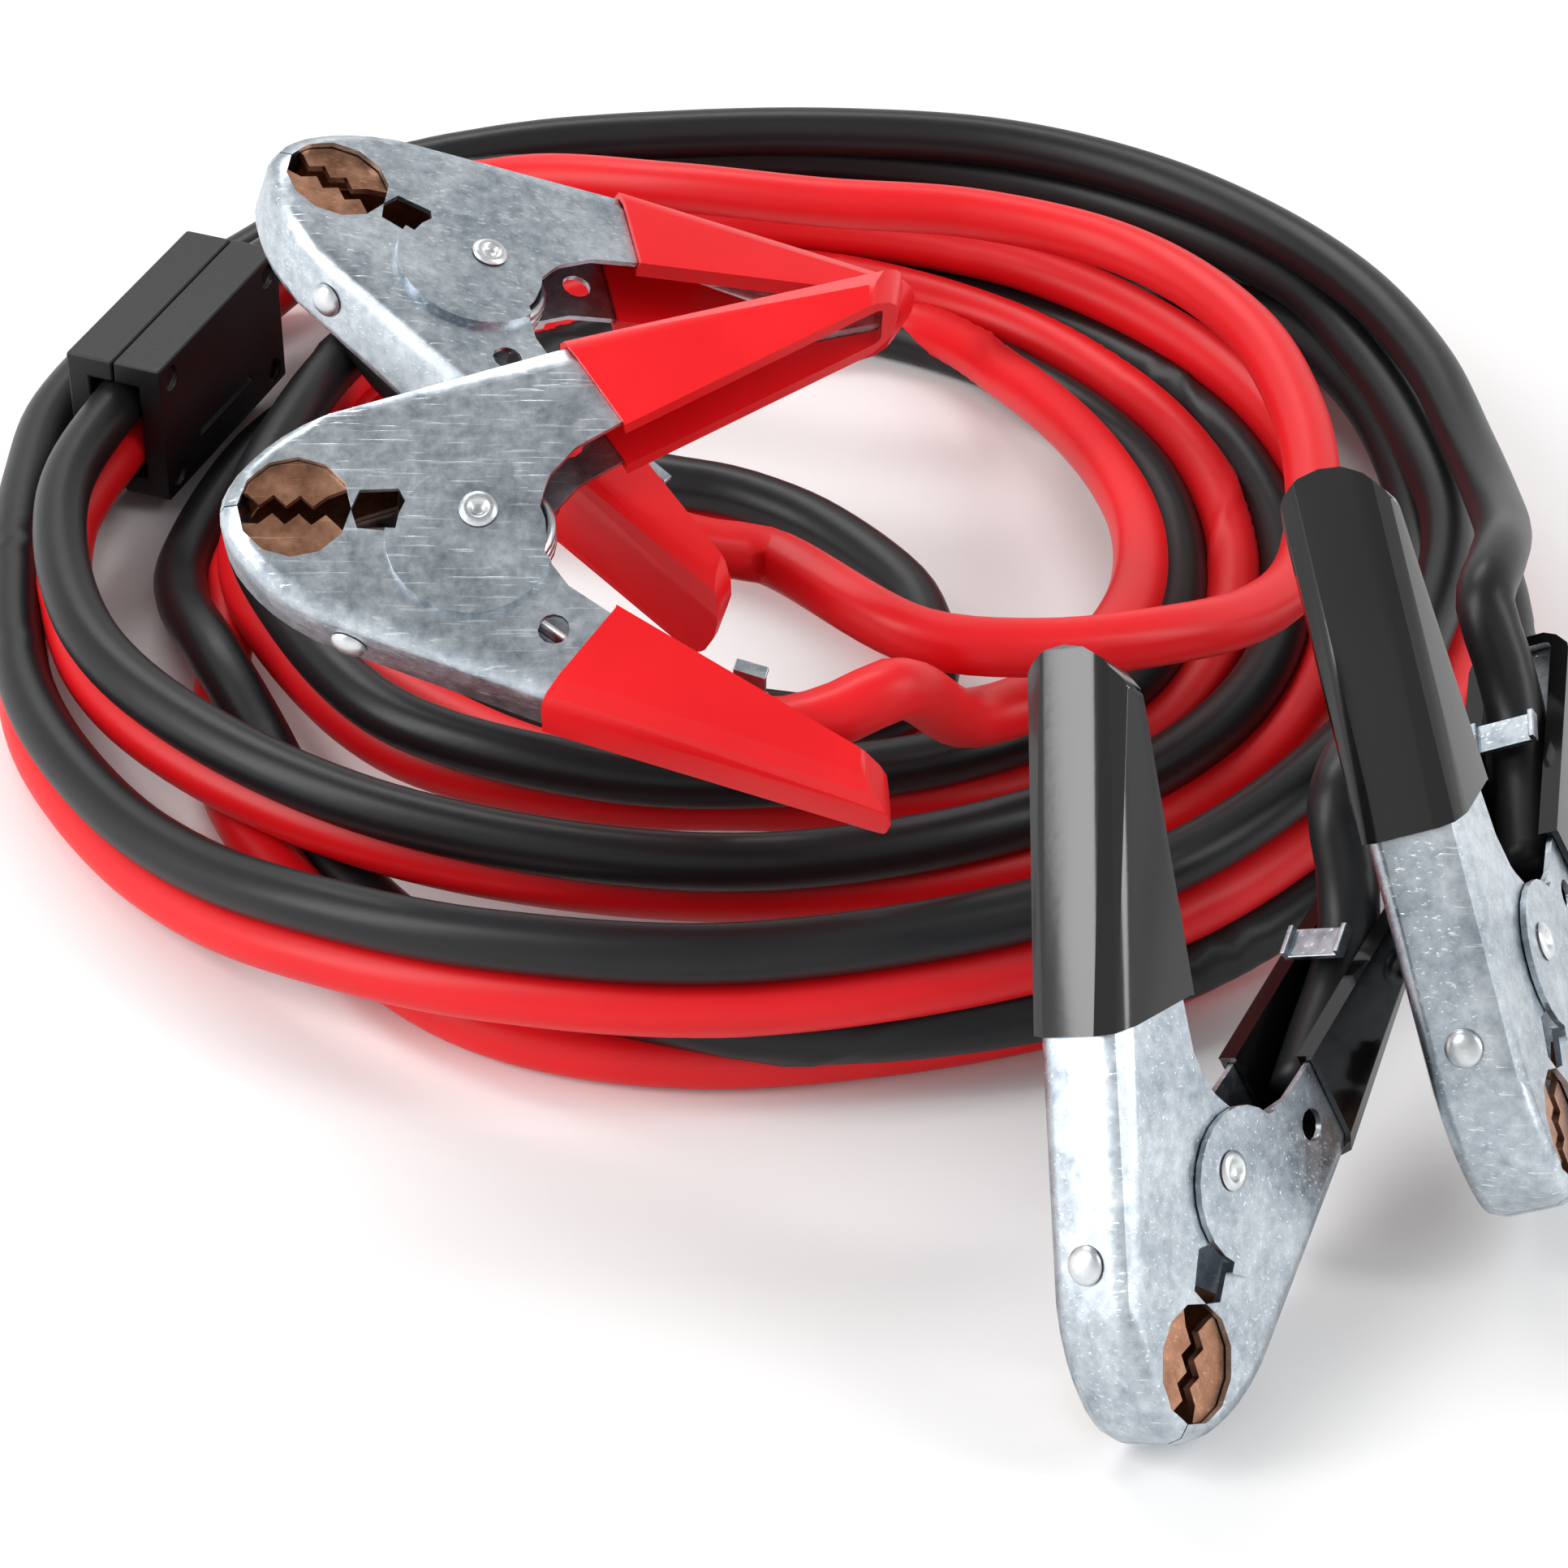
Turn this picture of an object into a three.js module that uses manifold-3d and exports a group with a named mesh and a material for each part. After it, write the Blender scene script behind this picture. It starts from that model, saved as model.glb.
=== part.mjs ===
// Heavy duty car jumper cable, lying coiled on a level floor. Millimetres, +Z up.
// Four pressed-steel clamps, a red and a black lead bonded side by side, and a two-part plastic block.
import * as THREE from 'three';
import { mergeVertices } from 'three/addons/utils/BufferGeometryUtils.js';
import Module from 'manifold-3d';

const wasm = await Module();
wasm.setup();

// Driving dimensions
const gap = 0.3;                    // clearance between pieces that touch
const overcut = 5;                  // how far a cutter runs past what it cuts

const cableDiameter = 13;           // one insulated conductor

// Clamp, in its own frame: pivot at the origin, jaws towards -X, thickness along Z
const clampHalfWidth = 10;          // pivot plane to the outer face of a side plate
const sheet = 1.3;                  // steel sheet thickness
const bendRadius = 4.2;             // outside radius where the back turns into the side plates
const jawGap = 0.15;                // half the gap between the closed halves
const jawReach = 54.5;              // pivot to jaw tip
const handleEnd = 86;               // pivot to the end of the steel handle
const handleTipDepth = 5.5;         // depth of the handle's side walls at its rounded end
const handleTipRound = 0.8;         // how far the rounded end reaches, as a share of the half width
const backAtHandleEnd = 61;         // height of the back at the handle's end
const mouthCentre = -38.6;          // oval jaw mouth
const mouthHalfLength = 11.9;
const mouthHeight = 11.4;
const earRadius = 15.8;             // joggled ear that laps the other half
const earCentreX = -1.3;
const earDrop = 5.6;                // ear centre to the clamp's middle line
const earSides = 24;
const joggleBand = 2.2;             // width of the step round the ear
const lobeRadius = 12;              // rounded end of the plain plate under the other half's ear
const handleHoleRadius = 3.4;
const handleHoleX = 16.9;
const handleHoleY = 26;

const rivetPinRadius = 3;
const rivetHeadRadius = 4.1;
const rivetHeadHeight = 1.1;

const springWire = 2.8;
const springInnerRadius = 8.6;
const springSides = 18;
const springOffset = 4.6;           // the coil hangs off centre on the pivot pin
const springHalfLength = 6.4;
const springLegLength = 24;
const springLegAngle = 0.62;        // radians from the clamp's middle line

const copperSheet = 1.6;
const copperFront = -50.6;          // ends of the copper jaw along the clamp
const copperBack = -18.5;
const toothTip = 0.9;                // tooth tips and roots, above the middle line
const toothRoot = 3.4;
const toothPitch = 5.6;

const jawRivetX = -26;
const jawRivetHead = 4;
const jawRivetDome = 2.3;
const jawRivetShank = 2;

const gripStart = 20.5;             // where the vinyl begins along the back of the handle
const gripStartInner = 29.5;        // and along the handle's open edge
const gripSkin = 1.4;               // vinyl outside the steel
const gripLining = 0.9;             // vinyl inside the channel

const clipX = 55;                   // strap over the cable
const clipWidth = 7;
const clipSheet = 1.3;
const cableSpring = 1.8;            // room for the cable's bend under the strap

// In-line block
const blockLength = 65;
const blockThickness = 26;
const blockHeight = 38;
const blockLift = 9.5;
const blockX = -144.5;
const blockY = 71;
const blockTurn = 68.5 * Math.PI / 180;
const blockScrewRadius = 3;
const blockScrewInset = 6;
const blockScrewSink = 1.2;
const blockGroove = 1.2;

const pairLow = 5.5;                // underside of the pair's way through the block
const blockGrooveHalf = 14;
const blockGrooveHeight = 9;

// Coil of the bonded pair
const coilInner = 100;
const coilOuter = 174;
const coilHeight = 45;

const zinc = { color: 0x9aa6ae, roughness: 0.38, metalness: 0.95 };
const copper = { color: 0xb5764a, roughness: 0.4, metalness: 0.95 };
const redVinyl = { color: 0xdf1a22, roughness: 0.35, metalness: 0 };
const blackVinyl = { color: 0x17181a, roughness: 0.35, metalness: 0 };
const blackPlastic = { color: 0x1b1c1e, roughness: 0.5, metalness: 0 };

// Solids
function solidOf(geometry) {
  const bare = geometry.index ? geometry.toNonIndexed() : geometry.clone();
  for (const name of Object.keys(bare.attributes)) {
    if (name !== 'position') bare.deleteAttribute(name);
  }
  const merged = mergeVertices(bare, 1e-5);
  return new wasm.Manifold(new wasm.Mesh({
    numProp: 3,
    vertProperties: new Float32Array(merged.attributes.position.array),
    triVerts: new Uint32Array(merged.index.array),
  }));
}

function geometryOf(solid) {
  const mesh = solid.getMesh();
  const geometry = new THREE.BufferGeometry();
  geometry.setAttribute('position', new THREE.BufferAttribute(new Float32Array(mesh.vertProperties), 3));
  geometry.setIndex(new THREE.BufferAttribute(new Uint32Array(mesh.triVerts), 1));
  return geometry;
}

function shapeOf(points) {
  return new THREE.Shape(points.map(([x, y]) => new THREE.Vector2(x, y)));
}

// A flat outline made thick, between two heights
function plate(points, low, high) {
  const geometry = new THREE.ExtrudeGeometry(shapeOf(points), { depth: high - low, bevelEnabled: false });
  geometry.translate(0, 0, low);
  return solidOf(geometry);
}

// The same with its rim rounded over at both faces, as a sheet is bent round a former
function pillow(points, halfWidth, radius) {
  const geometry = new THREE.ExtrudeGeometry(shapeOf(points), {
    depth: 2 * (halfWidth - radius), bevelThickness: radius, bevelSize: radius,
    bevelOffset: -radius, bevelSegments: 2,
  });
  geometry.translate(0, 0, radius - halfWidth);
  return solidOf(geometry);
}

function drum(radius, low, high, x = 0, y = 0, sides = 16) {
  const geometry = new THREE.CylinderGeometry(radius, radius, high - low, sides);
  geometry.rotateX(Math.PI / 2);
  geometry.translate(x, y, (low + high) / 2);
  return solidOf(geometry);
}

function block(x0, x1, y0, y1, z0, z1) {
  const geometry = new THREE.BoxGeometry(x1 - x0, y1 - y0, z1 - z0);
  geometry.translate((x0 + x1) / 2, (y0 + y1) / 2, (z0 + z1) / 2);
  return solidOf(geometry);
}

// Moves each side of a closed outline outwards by a distance
function grow(points, distance) {
  const count = points.length;
  return points.map((point, i) => {
    const before = points[(i + count - 1) % count];
    const after = points[(i + 1) % count];
    const inDir = new THREE.Vector2(point[0] - before[0], point[1] - before[1]).normalize();
    const outDir = new THREE.Vector2(after[0] - point[0], after[1] - point[1]).normalize();
    const normalIn = new THREE.Vector2(inDir.y, -inDir.x);
    const normalOut = new THREE.Vector2(outDir.y, -outDir.x);
    const corner = normalIn.clone().add(normalOut).normalize();
    const stretch = distance / Math.max(corner.dot(normalIn), 0.4);
    return [point[0] + corner.x * stretch, point[1] + corner.y * stretch];
  });
}

// Clamp half, drawn as the half above the middle line; the other half is the same part turned over
const kneeX = 14.1;                 // where the back bends between jaw and handle
const kneeHeight = 40.4;
const backLine = [
  [-jawReach, jawGap], [-54.2, 2.9], [-53.2, 5.6], [-51.5, 8.8], [-49.1, 11.9], [-46.3, 14.9], [-43, 17.8],
  [-38.7, 20.8], [-33.5, 23.6], [kneeX, kneeHeight], [handleEnd, backAtHandleEnd],
];
const backSlope = (backAtHandleEnd - kneeHeight) / (handleEnd - kneeX);
function backHeight(x) {
  for (let i = 1; i < backLine.length; i += 1) {
    const [x0, y0] = backLine[i - 1];
    const [x1, y1] = backLine[i];
    if (x <= x1) return y0 + (y1 - y0) * (x - x0) / (x1 - x0);
  }
  return backAtHandleEnd;
}
const innerLine = [
  [handleEnd - 1, backAtHandleEnd - handleTipDepth], [29, 22.3], [19.5, 16], [14.4, 9.4], [13, 5.2],
];
const mouthEdge = [];
const mouthSteps = 6;
for (let i = 0; i <= mouthSteps; i += 1) {
  const angle = Math.PI * (1 - i / mouthSteps);
  const lift = Math.sin(angle) * mouthHeight;
  mouthEdge.push([mouthCentre + Math.cos(angle) * mouthHalfLength, jawGap + Math.max(lift, 0)]);
}
const notchEdge = [[-25.2, 4.4], [-17, 5], [-14.6, jawGap + 0.6]];

// Side view of a half: down to the middle line at the jaws and the pivot
const sideOutline = [
  ...[...backLine].reverse(), ...mouthEdge, ...notchEdge, [-13.4, jawGap], [12.2, jawGap], ...[...innerLine].reverse(),
];
// The same back with its open side carried well past the sheet's edge, so that only the back is bent
const openSide = -28;
const bentOutline = [
  [-jawReach, openSide], [handleEnd, openSide], ...[...backLine].reverse().slice(0, -1), [-jawReach, jawGap],
];

// Side view of the handle alone
const handleOutline = [
  [handleEnd, backAtHandleEnd], [kneeX, kneeHeight], [0, backHeight(0)], [10, 10], ...[...innerLine].reverse().slice(1),
];

// The handle ends in a rounded tongue, seen square to its back
function tongue(extra) {
  const radius = clampHalfWidth + extra;
  const reach = radius * handleTipRound;
  const outline = [[-jawReach - overcut, -40], [handleEnd + extra - reach, -40]];
  const steps = 8;
  for (let i = 0; i <= steps; i += 1) {
    const angle = Math.PI * (i / steps - 0.5);
    outline.push([handleEnd + extra + reach * (Math.cos(angle) - 1), (radius + 0.5) * Math.sin(angle)]);
  }
  outline.push([handleEnd + extra - reach, 40], [-jawReach - overcut, 40]);
  return plate(outline, -120, 120).rotate([90, 0, 0]);
}
function channelBlank(outline, extra) {
  const bent = pillow(grow(bentOutline, extra), clampHalfWidth + extra, bendRadius + extra);
  const trimmed = plate(grow(outline, extra), -clampHalfWidth - overcut, clampHalfWidth + overcut);
  return bent.intersect(trimmed).intersect(tongue(extra));
}
function channelHollow(extra) {
  const depth = sheet + extra;
  return pillow(grow(bentOutline, -depth).map(([x, y]) => [x > handleEnd - overcut ? x + 2 * overcut : x, y]),
    clampHalfWidth - depth, Math.max(bendRadius - depth, 0.6));
}

function lobe(low, high) {
  const outline = [];
  const first = Math.PI * 1.02;
  const last = Math.PI * 1.98;
  const steps = 6;
  for (let i = 0; i <= steps; i += 1) {
    const angle = first + (last - first) * i / steps;
    outline.push([Math.cos(angle) * lobeRadius, Math.sin(angle) * lobeRadius]);
  }
  return plate([...outline, [14, 9], [13, 14], [-13, 14], [-13.6, 3]], low, high);
}

function jawRivetPlace() {
  const slope = (backHeight(jawRivetX + 2) - backHeight(jawRivetX - 2)) / 4;
  return { x: jawRivetX, y: backHeight(jawRivetX), tilt: Math.atan(slope) };
}
// Stands a lathed or drilled piece, made along +Y, on the jaw's back
function onJawBack(geometry, lift) {
  const place = jawRivetPlace();
  geometry.translate(0, lift, 0);
  geometry.rotateZ(place.tilt);
  geometry.translate(place.x, place.y, 0);
  return geometry;
}
function jawRivetHole(radius) {
  return solidOf(onJawBack(new THREE.CylinderGeometry(radius, radius, 12, 10), 0));
}

const earLow = -clampHalfWidth - gap - sheet;
const earHigh = -clampHalfWidth - gap;
function makeHalf() {
  const recess = drum(earRadius, -clampHalfWidth - overcut, -clampHalfWidth + sheet + gap, earCentreX, earDrop, earSides);
  const ear = drum(earRadius + joggleBand, earLow, earHigh, earCentreX, earDrop, earSides)
    .subtract(block(-40, 40, -40, jawGap, earLow - 1, earHigh + 1))
    .add(drum(earRadius, earLow, earHigh, earCentreX, earDrop, earSides));
  const inside = plate(sideOutline, -clampHalfWidth - overcut, clampHalfWidth + overcut);
  const neck = ear.intersect(inside.add(drum(earRadius, earLow - 1, earHigh + 1, earCentreX, earDrop, earSides)));
  const band = drum(earRadius + joggleBand, earLow, -clampHalfWidth + sheet, earCentreX, earDrop, earSides)
    .subtract(drum(earRadius, earLow - 1, clampHalfWidth, earCentreX, earDrop, earSides))
    .intersect(inside);
  return channelBlank(sideOutline, 0)
    .subtract(channelHollow(0))
    .add(lobe(clampHalfWidth - sheet, clampHalfWidth))
    .subtract(recess)
    .add(neck)
    .add(band)
    .subtract(drum(handleHoleRadius, -clampHalfWidth - overcut, 0, handleHoleX, handleHoleY, 12))
    .subtract(drum(rivetPinRadius + gap, -clampHalfWidth - overcut, clampHalfWidth + overcut))
    .subtract(jawRivetHole(jawRivetShank + gap));
}

function makeGrip() {
  const zone = plate([
    [gripStart - 13, 90], [gripStart - 13, 64], [gripStart - 5.5, 42], [gripStartInner, 21.5], [gripStartInner + 3, 8],
    [handleEnd + 20, 8], [handleEnd + 20, 90],
  ], -40, 40);
  const outer = channelBlank(handleOutline, gap + gripSkin);
  const steel = channelBlank(handleOutline, gap).subtract(channelHollow(gap));
  const liningDepth = sheet + gap + gripLining;
  const hollow = pillow(
    grow(bentOutline, -liningDepth), clampHalfWidth - liningDepth, Math.max(bendRadius - liningDepth, 0.6));
  return outer.intersect(zone).subtract(steel).subtract(hollow);
}

// Copper jaw: a folded strip, riveted to the inside of the back, with teeth along both side walls
function makeCopper() {
  const margin = sheet + gap;
  const top = grow(backLineClosed(), -margin);
  const body = pillow(top, clampHalfWidth - margin, Math.max(bendRadius - margin, 0.8));
  const wall = (shift, low, high) => {
    const first = copperFront + 1.2;
    const teeth = [[first, toothRoot]];
    for (let i = 0; i < 3; i += 1) {
      teeth.push([first + toothPitch * (i + shift), toothRoot], [first + toothPitch * (i + shift + 0.5), toothTip]);
    }
    return plate([
      ...teeth, [first + toothPitch * (3 + shift), toothRoot], [-27.2, 5.6], [copperBack, 9],
      [copperBack, 50], [copperFront, 50],
    ], low, high);
  };
  const zone = wall(0.1, 0, clampHalfWidth).add(wall(0.6, -clampHalfWidth, 0));
  const hollow = pillow(grow(backLineClosed(), -margin - copperSheet), clampHalfWidth - margin - copperSheet, 0.8);
  return body.intersect(zone).subtract(hollow).subtract(jawRivetHole(jawRivetShank + gap));
}
function backLineClosed() {
  return bentOutline;
}

function makeJawRivet() {
  const inner = -sheet - gap - copperSheet - 0.9;
  const profile = [
    [0, inner - 0.8], [jawRivetShank, inner - 0.8], [jawRivetShank, gap], [jawRivetHead, gap],
    [jawRivetHead * 0.75, jawRivetDome * 0.78], [0, jawRivetDome],
  ].map(([r, y]) => new THREE.Vector2(r, y));
  return solidOf(onJawBack(new THREE.LatheGeometry(profile, 12), 0));
}

function makePivotRivet() {
  const seat = clampHalfWidth + gap + sheet + gap;
  const lip = seat + rivetHeadHeight;
  const profile = [
    [0, -lip], [rivetHeadRadius - 0.6, -lip], [rivetHeadRadius, -seat], [rivetPinRadius, -seat],
    [rivetPinRadius, seat], [rivetHeadRadius, seat], [rivetHeadRadius - 0.6, lip], [0, lip],
  ].map(([r, y]) => new THREE.Vector2(r, y));
  const geometry = new THREE.LatheGeometry(profile, 12);
  geometry.rotateX(Math.PI / 2);
  return solidOf(geometry);
}

// Torsion spring: the wound body as a sleeve, with a leg into each handle
function makeSpring() {
  const outerRadius = springInnerRadius + springWire;
  const sleeve = drum(outerRadius, -springHalfLength, springHalfLength, springOffset, 0, springSides)
    .subtract(drum(springInnerRadius, -springHalfLength - 1, springHalfLength + 1, springOffset, 0, springSides));
  const upper = new THREE.CylinderGeometry(springWire / 2, springWire / 2, springLegLength, 6);
  upper.rotateZ(-Math.PI / 2);
  upper.translate(springLegLength / 2, outerRadius - springWire / 2, springHalfLength - springWire / 2);
  upper.rotateZ(springLegAngle);
  upper.translate(springOffset, 0, 0);
  const lower = upper.clone();
  lower.rotateX(Math.PI);
  return sleeve.add(solidOf(upper)).add(solidOf(lower));
}

function handleAxis(x) {
  return backHeight(x) - (sheet + 2 * gap + gripLining + cableDiameter / 2) / Math.cos(Math.atan(backSlope));
}

function makeClip() {
  const reach = clampHalfWidth - sheet - 2 * gap - gripLining;
  const low = -cableDiameter / 2 - 3 * gap - cableSpring - clipSheet;
  const strap = block(-clipWidth / 2, clipWidth / 2, low, low + clipSheet, -reach, reach)
    .add(block(-clipWidth / 2, clipWidth / 2, low - 1.6, low + 0.2, -reach, -reach + clipSheet))
    .add(block(-clipWidth / 2, clipWidth / 2, low - 1.6, low + 0.2, reach - clipSheet, reach));
  return strap.rotate([0, 0, Math.atan(backSlope) * 180 / Math.PI]).translate([clipX, handleAxis(clipX), 0]);
}

const halfSolid = makeHalf();
const gripSolid = makeGrip();
const copperSolid = makeCopper();
const jawRivetSolid = makeJawRivet();
const pivotRivetSolid = makePivotRivet();
const springSolid = makeSpring();
const clipSolid = makeClip();

const turnedOver = new THREE.Matrix4().makeRotationX(Math.PI);

function piece(name, solid, finish, parent, matrix) {
  const geometry = geometryOf(solid);
  if (matrix) geometry.applyMatrix4(matrix);
  const mesh = new THREE.Mesh(geometry, new THREE.MeshStandardMaterial(finish));
  mesh.name = name;
  parent.add(mesh);
  return mesh;
}

// Where each clamp lies: its pivot, the way its handles point and the way its free half opens
const clamps = [
  { name: 'red_front', pivot: [-53.9, -123.2, 106.6], along: [0.999, -0.017, -0.028], across: [0.029, 0.859, 0.511], grip: redVinyl },
  { name: 'red_rear', pivot: [-60, -25.5, 108.1], along: [0.883, -0.306, -0.357], across: [0.359, 0.929, 0.092], grip: redVinyl },
  { name: 'black_front', pivot: [89.1, -250, 40.2], along: [0.172, 0.796, 0.581], across: [-0.636, -0.36, 0.682], grip: blackVinyl },
  { name: 'black_rear', pivot: [155.6, -194, 49.9], along: [-0.093, 0.832, 0.547], across: [-0.479, -0.519, 0.708], grip: blackVinyl },
];

function frameOf(clamp) {
  const x = new THREE.Vector3(...clamp.along).normalize();
  const y = new THREE.Vector3(...clamp.across);
  y.addScaledVector(x, -x.dot(y)).normalize();
  const z = new THREE.Vector3().crossVectors(x, y);
  return new THREE.Matrix4().makeBasis(x, y, z).setPosition(...clamp.pivot);
}

const cable = new THREE.Group();

for (const clamp of clamps) {
  const group = new THREE.Group();
  group.applyMatrix4(frameOf(clamp));
  cable.add(group);
  for (const [half, matrix] of [['free', null], ['cable', turnedOver]]) {
    piece(`${clamp.name}_${half}_half`, halfSolid, zinc, group, matrix);
    piece(`${clamp.name}_${half}_grip`, gripSolid, clamp.grip, group, matrix);
    piece(`${clamp.name}_${half}_jaw`, copperSolid, copper, group, matrix);
    piece(`${clamp.name}_${half}_jaw_rivet`, jawRivetSolid, zinc, group, matrix);
  }
  piece(`${clamp.name}_pivot_rivet`, pivotRivetSolid, zinc, group);
  piece(`${clamp.name}_spring`, springSolid, zinc, group);
  piece(`${clamp.name}_cable_clip`, clipSolid, zinc, group, turnedOver);
}

// In-line block: two moulded halves, each with a half of the cable way, drawn together by four screws
const pairHalf = cableDiameter / 2 + gap;
function makeBlockHalf(side) {
  const low = side > 0 ? gap / 2 : -blockThickness / 2;
  const high = side > 0 ? blockThickness / 2 : -gap / 2;
  const outline = grow([
    [-blockLength / 2, 0], [blockLength / 2, 0], [blockLength / 2, blockHeight], [-blockLength / 2, blockHeight],
  ], 0);
  let half = plate(outline, low, high);
  const way = block(-blockLength, blockLength, pairLow, pairLow + 2 * cableDiameter + 2 * gap, -pairHalf, pairHalf);
  half = half.subtract(way);
  for (const x of [-1, 1]) {
    for (const y of [blockScrewInset - 1, blockHeight - blockScrewInset + 1]) {
      const at = x * (blockLength / 2 - blockScrewInset);
      if (side > 0) half = half.subtract(drum(blockScrewRadius, high - blockScrewSink, high + 1, at, y, 12));
    }
  }
  if (side > 0) {
    half = half.subtract(block(-blockGrooveHalf, blockGrooveHalf, blockGrooveHeight, blockGrooveHeight + blockGroove,
      high - blockGroove, high + 1));
  }
  return half;
}
const blockFrame = new THREE.Group();
blockFrame.position.set(blockX, blockY, blockLift);
blockFrame.rotation.set(Math.PI / 2, 0, 0);
const blockTurner = new THREE.Group();
blockTurner.add(blockFrame);
blockFrame.position.set(0, 0, 0);
blockTurner.rotation.z = blockTurn;
blockTurner.position.set(blockX, blockY, blockLift);
cable.add(blockTurner);
piece('block_cover', makeBlockHalf(1), blackPlastic, blockFrame);
piece('block_base', makeBlockHalf(-1), blackPlastic, blockFrame);

// Coil: the outer shape of the wound pair, with a pocket round the block and the pair running on through it
const coilProfile = [
  [coilInner, 8], [coilInner + 8, gap], [coilOuter - 8, gap], [coilOuter, 8],
  [coilOuter, coilHeight - 14], [coilOuter - 12, coilHeight], [coilInner + 10, coilHeight], [coilInner, coilHeight - 10],
  [coilInner, 8],
].map(([r, y]) => new THREE.Vector2(r, y));
const coilGeometry = new THREE.LatheGeometry(coilProfile, 48);
coilGeometry.rotateX(Math.PI / 2);
const blockPocket = block(-blockLength / 2 - gap, blockLength / 2 + gap, -blockThickness / 2 - gap,
  2 * blockThickness, -overcut, blockLift + blockHeight + overcut)
  .subtract(block(-blockLength, blockLength, -cableDiameter / 2, cableDiameter / 2,
    blockLift + pairLow + gap, blockLift + pairLow + gap + 2 * cableDiameter))
  .rotate([0, 0, blockTurn * 180 / Math.PI]).translate([blockX, blockY, 0]);
const coilSolid = solidOf(coilGeometry).subtract(blockPocket);
piece('coil', coilSolid, blackVinyl, cable);

// Leads: each runs up its clamp's open handle, leaves it past the strap and lies along the coil
const leadSides = 8;
const leads = [
  { name: 'red_front_lead', clamp: 0, finish: redVinyl, route: [
    [52, -130, 65], [74, -108, 56], [86, -78, 52.5], [90, -45, 50], [87, -14, 36], [81, 15, 22], [72, 40, 12]] },
  { name: 'red_rear_lead', clamp: 1, finish: redVinyl, route: [
    [40, -118, 76], [66, -119, 74], [92, -109, 70], [114, -88, 61], [128, -60, 53], [134, -30, 52],
    [134, 10, 52], [124, 52, 52], [98, 87, 52], [60, 106, 52], [20, 112, 52]] },
  { name: 'black_front_lead', clamp: 2, finish: blackVinyl, route: [
    [136, -139, 67], [147, -118, 52], [157, -97, 31], [164.4, -73.4, 19]] },
  { name: 'black_rear_lead', clamp: 3, finish: blackVinyl, route: [
    [178, -60, 60], [180, -26, 50], [177, 8, 44.5], [171, 44, 44.3], [157, 80, 44.4], [135, 112, 44.5],
    [106, 138, 44.7], [69.4, 156, 45.2]] },
];
function leadStart(clamp) {
  const matrix = frameOf(clamps[clamp]).multiply(turnedOver);
  return [[26, 0], [40, 0], [clipX, 0], [66, -3], [77, -10], [88, -19]]
    .map(([x, y]) => new THREE.Vector3(x, handleAxis(x) + y, 0).applyMatrix4(matrix));
}
for (const lead of leads) {
  const points = [...leadStart(lead.clamp), ...lead.route.map((p) => new THREE.Vector3(...p))];
  const curve = new THREE.CatmullRomCurve3(points, false, 'centripetal');
  const section = [];
  for (let i = 0; i < leadSides; i += 1) {
    const angle = 2 * Math.PI * (i + 0.5) / leadSides;
    section.push([Math.cos(angle) * cableDiameter / 2, Math.sin(angle) * cableDiameter / 2]);
  }
  const steps = Math.round(curve.getLength() / (2 * cableDiameter));
  const geometry = new THREE.ExtrudeGeometry(shapeOf(section), { steps, bevelEnabled: false, extrudePath: curve });
  piece(lead.name, solidOf(geometry), lead.finish, cable);
}

// Origin: floor level, under the middle of the clamps and the block
const hardware = new THREE.Box3();
cable.updateMatrixWorld(true);
cable.traverse((node) => {
  if (node.isMesh && node.name !== 'coil' && !node.name.endsWith('_lead')) hardware.expandByObject(node, true);
});
const middle = hardware.getCenter(new THREE.Vector3());
cable.position.set(-middle.x, -middle.y, -hardware.min.z);

export default cable;
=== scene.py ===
# Heavy duty car jumper cable, lying coiled on a pale floor.
# The scene follows the order of assembly: cable, clamps, vinyl grips, in-line block.
import math

import bmesh
import bpy
from mathutils import Matrix, Vector


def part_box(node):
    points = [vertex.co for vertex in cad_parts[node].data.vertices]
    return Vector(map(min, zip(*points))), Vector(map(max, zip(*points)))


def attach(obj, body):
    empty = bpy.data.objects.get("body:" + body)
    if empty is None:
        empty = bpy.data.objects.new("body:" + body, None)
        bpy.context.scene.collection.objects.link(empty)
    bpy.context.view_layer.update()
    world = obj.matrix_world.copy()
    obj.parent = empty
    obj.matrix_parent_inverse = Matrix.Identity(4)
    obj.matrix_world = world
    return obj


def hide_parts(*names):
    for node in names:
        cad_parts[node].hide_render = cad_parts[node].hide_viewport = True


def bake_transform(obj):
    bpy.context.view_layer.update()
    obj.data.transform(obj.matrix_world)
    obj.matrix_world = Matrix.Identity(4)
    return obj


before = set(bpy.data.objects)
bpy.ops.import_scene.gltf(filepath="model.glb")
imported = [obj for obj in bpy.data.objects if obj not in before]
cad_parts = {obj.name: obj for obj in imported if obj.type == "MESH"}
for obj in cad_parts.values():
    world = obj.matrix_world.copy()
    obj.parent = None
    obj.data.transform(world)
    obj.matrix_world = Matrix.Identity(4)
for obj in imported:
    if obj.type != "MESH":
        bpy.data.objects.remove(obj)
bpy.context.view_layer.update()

# Room for the picture: a pale floor, soft boxes left, right and behind, and a long lens
# that looks down at the coil at 37 degrees.
coil_low, coil_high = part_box("coil")
coil_centre = Vector(((coil_low[0] + coil_high[0]) / 2, (coil_low[1] + coil_high[1]) / 2, -0.0002))
scene = bpy.context.scene
scene.view_settings.view_transform = "Standard"
camera_data = bpy.data.cameras.new("camera")
camera_data.sensor_width = 36
camera_data.lens = 104.35
camera_data.clip_end = 20
camera = bpy.data.objects.new("camera", camera_data)
camera.location = coil_centre + Vector((0.00999, -0.92042, 0.64107))
camera.rotation_euler = (math.radians(53), 0, 0)
scene.collection.objects.link(camera)
scene.camera = camera


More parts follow.
